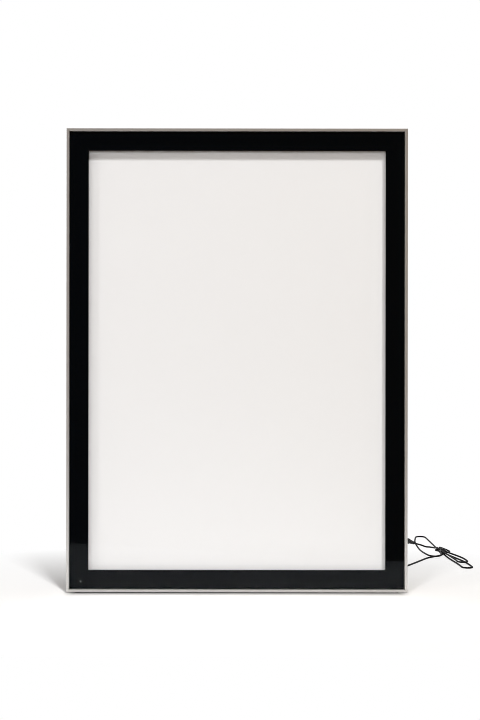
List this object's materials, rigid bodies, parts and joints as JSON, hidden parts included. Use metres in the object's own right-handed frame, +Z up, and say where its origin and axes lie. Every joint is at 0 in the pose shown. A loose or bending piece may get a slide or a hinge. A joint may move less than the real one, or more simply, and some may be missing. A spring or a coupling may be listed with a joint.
{
  "type": "led poster frame",
  "caption": "Slim upright edge-lit poster frame: mitred aluminium profiles, a magnetic clear cover with a black border, a white diffuser panel and a tied low-voltage lead.",
  "frame": {"origin": "middle of the base, on the surface that the frame stands on", "axes": "+X to the right seen from the front, +Y towards the back, +Z up"},
  "size_m": [0.7122, 0.5721, 0.7592],
  "materials": {
    "anodised_aluminium": "satin, fine lines along the profile",
    "cast_key": "matt casting",
    "screw_steel": "zinc plated",
    "magnet_nickel": "nickel plated",
    "white_diffuser": "matt, very fine grain",
    "clear_guide": "clear, polished edges",
    "white_film": "matt",
    "back_board": "satin",
    "dark_foam": "closed-cell foam",
    "foot_rubber": "matt",
    "lamp_board": "satin",
    "lamp_chip": "gloss",
    "green_board": "satin",
    "electrode_brass": "bright",
    "smoked_pipe": "smooth",
    "wire_black": "satin",
    "wire_red": "satin",
    "clear_pane": "clear, polished",
    "black_print": "printed behind the pane",
    "strip_steel": "plain rolled",
    "black_moulding": "fine moulded grain",
    "cord_sheath": "satin sheath",
    "tie_plastic": "satin",
    "plug_nickel": "nickel plated",
    "insulator_plastic": "satin"
  },
  "bodies": {
    "frame": {"frame_top": "anodised_aluminium", "frame_bottom": "anodised_aluminium", "frame_left": "anodised_aluminium", "frame_right": "anodised_aluminium", "corner_key_top_left": "cast_key", "corner_key_top_right": "cast_key", "corner_key_bottom_left": "cast_key", "corner_key_bottom_right": "cast_key", "corner_screws": "screw_steel", "frame_magnets": "magnet_nickel", "foot_strip": "foot_rubber", "diffuser_panel": "white_diffuser", "light_guide_plate": "clear_guide", "reflector_sheet": "white_film", "back_panel": "back_board", "back_foam": "dark_foam", "sheet_pads": "dark_foam", "led_board_left": "lamp_board", "led_board_right": "lamp_board", "led_chips_left": "lamp_chip", "led_chips_right": "lamp_chip", "touch_board": "green_board", "touch_board_pads": "dark_foam", "touch_electrode": "electrode_brass", "touch_light_pipe": "smoked_pipe", "supply_wire": "wire_black", "led_wire_left": "wire_red", "led_wire_right": "wire_red", "cord_gland": "black_moulding", "gland_nut": "black_moulding", "cord_lead": "cord_sheath", "cord_hank": "cord_sheath", "cord_tail": "cord_sheath", "cord_tie": "tie_plastic", "plug_body": "black_moulding", "plug_barrel": "plug_nickel", "plug_insulator": "insulator_plastic"},
    "cover": {"cover_pane": "clear_pane", "cover_border": "black_print", "cover_strip_top": "strip_steel", "cover_strip_bottom": "strip_steel", "cover_strip_left": "strip_steel", "cover_strip_right": "strip_steel"}
  },
  "joints": [
    {"name": "cover_lift_off", "type": "slide", "parent": "frame", "child": "cover", "axis": [0, -1, 0], "range_m": [0, 0.09]}
  ]
}
